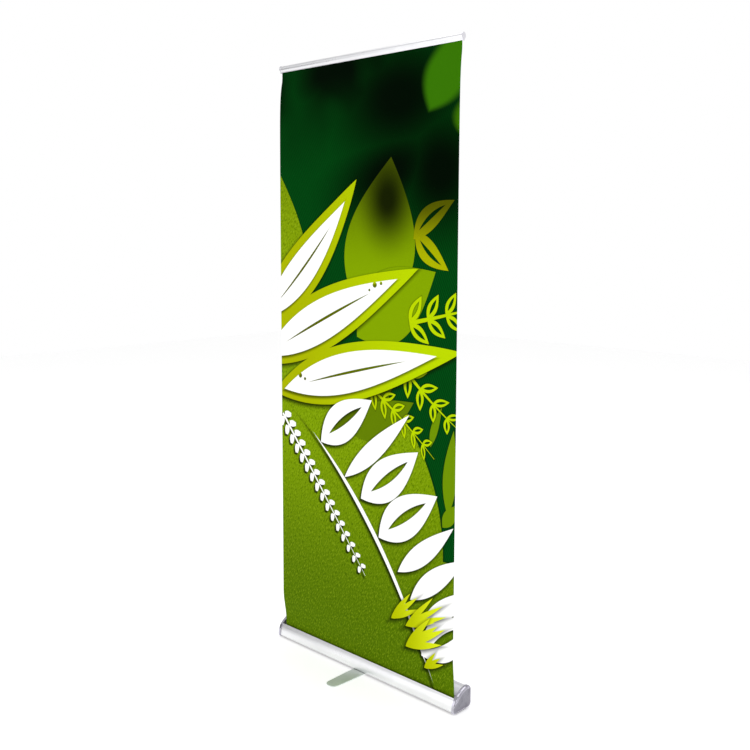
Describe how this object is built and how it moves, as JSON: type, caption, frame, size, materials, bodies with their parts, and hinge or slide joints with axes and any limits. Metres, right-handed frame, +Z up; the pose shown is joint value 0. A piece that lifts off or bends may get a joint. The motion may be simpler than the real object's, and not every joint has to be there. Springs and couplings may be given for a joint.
{
  "type": "roll-up banner stand",
  "caption": "Upright printed banner held between a teardrop base cassette and a clamping top rail, with a telescopic rear pole and one long swivelling foot.",
  "frame": {"origin": "on the floor, on the swivel axis of the foot, which is the centre of the footprint", "axes": "+X along the base to the viewer's right as the print is read, +Y to the rear, where the pole is, +Z up"},
  "size_m": [0.845, 0.364, 2.0679],
  "materials": {
    "anodised_aluminium": "satin silver anodised extrusion with fine lengthwise draw lines",
    "chrome_plated_plastic": "smooth plated end caps",
    "printed_film": "matt printed film, dark green above and grass green below",
    "zinc_plated_steel": "zinc plated",
    "satin_foot_metal": "satin silver coat with bright bevelled edges",
    "black_plastic": "moulded",
    "white_nylon": "moulded",
    "black_rubber": "matt"
  },
  "bodies": {
    "base": {"base_housing": "anodised_aluminium", "end_cap_left": "chrome_plated_plastic", "end_cap_right": "chrome_plated_plastic", "end_plate_left": "zinc_plated_steel", "end_plate_right": "zinc_plated_steel", "end_screw_left_1": "zinc_plated_steel", "end_screw_left_2": "zinc_plated_steel", "end_screw_left_3": "zinc_plated_steel", "end_screw_right_1": "zinc_plated_steel", "end_screw_right_2": "zinc_plated_steel", "end_screw_right_3": "zinc_plated_steel", "base_pad_left": "black_rubber", "base_pad_right": "black_rubber", "pole_socket": "zinc_plated_steel", "axle_bush_left": "black_plastic", "axle_bush_right": "black_plastic", "spring_arbor": "zinc_plated_steel", "torsion_spring": "zinc_plated_steel", "pivot_bolt": "zinc_plated_steel", "pivot_washer": "zinc_plated_steel", "pivot_nut": "zinc_plated_steel", "pole_lower": "anodised_aluminium", "pole_collar_lower": "black_plastic", "banner_sheet": "printed_film"},
    "foot": {"foot_plate": "satin_foot_metal", "foot_pad_front": "black_rubber", "foot_pad_back": "black_rubber"},
    "roller": {"roller_tube": "anodised_aluminium", "banner_roll": "printed_film", "roller_plug_left": "white_nylon", "roller_plug_right": "white_nylon", "spring_anchor": "white_nylon"},
    "pole_middle_section": {"pole_middle": "anodised_aluminium", "pole_collar_upper": "black_plastic"},
    "pole_upper_section": {"pole_upper": "anodised_aluminium", "pole_head": "black_plastic"},
    "top_rail": {"rail_rear_jaw": "anodised_aluminium", "rail_cap_left": "chrome_plated_plastic", "rail_cap_right": "chrome_plated_plastic", "rail_bracket": "black_plastic"},
    "front_jaw": {"rail_front_jaw": "anodised_aluminium"}
  },
  "joints": [
    {"name": "foot_swivel", "type": "hinge", "parent": "base", "child": "foot", "pos_m": [0, 0, 0.0035], "axis": [0, 0, 1], "range_deg": [-90, 90]},
    {"name": "rail_lift", "type": "slide", "parent": "base", "child": "top_rail", "axis": [0, 0, 1], "range_m": [-1.24, 0], "deforming": ["banner_sheet"]},
    {"name": "roller_spin", "type": "hinge", "parent": "base", "child": "roller", "pos_m": [0, -0.0035, 0.0355], "axis": [1, 0, 0], "range_deg": [0, 4400]},
    {"name": "pole_middle_slide", "type": "slide", "parent": "base", "child": "pole_middle_section", "axis": [0, 0, 1], "range_m": [-0.62, 0]},
    {"name": "pole_upper_slide", "type": "slide", "parent": "pole_middle_section", "child": "pole_upper_section", "axis": [0, 0, 1], "range_m": [-0.62, 0]},
    {"name": "jaw_open", "type": "hinge", "parent": "top_rail", "child": "front_jaw", "pos_m": [0, -0.01445, 2.06355], "axis": [-1, 0, 0], "range_deg": [0, 40]}
  ],
  "couplings": [
    {"joint": "roller_spin", "follows": "rail_lift", "rad_per_m": -61.728},
    {"joint": "pole_middle_slide", "follows": "rail_lift", "ratio": 0.5},
    {"joint": "pole_upper_slide", "follows": "rail_lift", "ratio": 0.5}
  ]
}
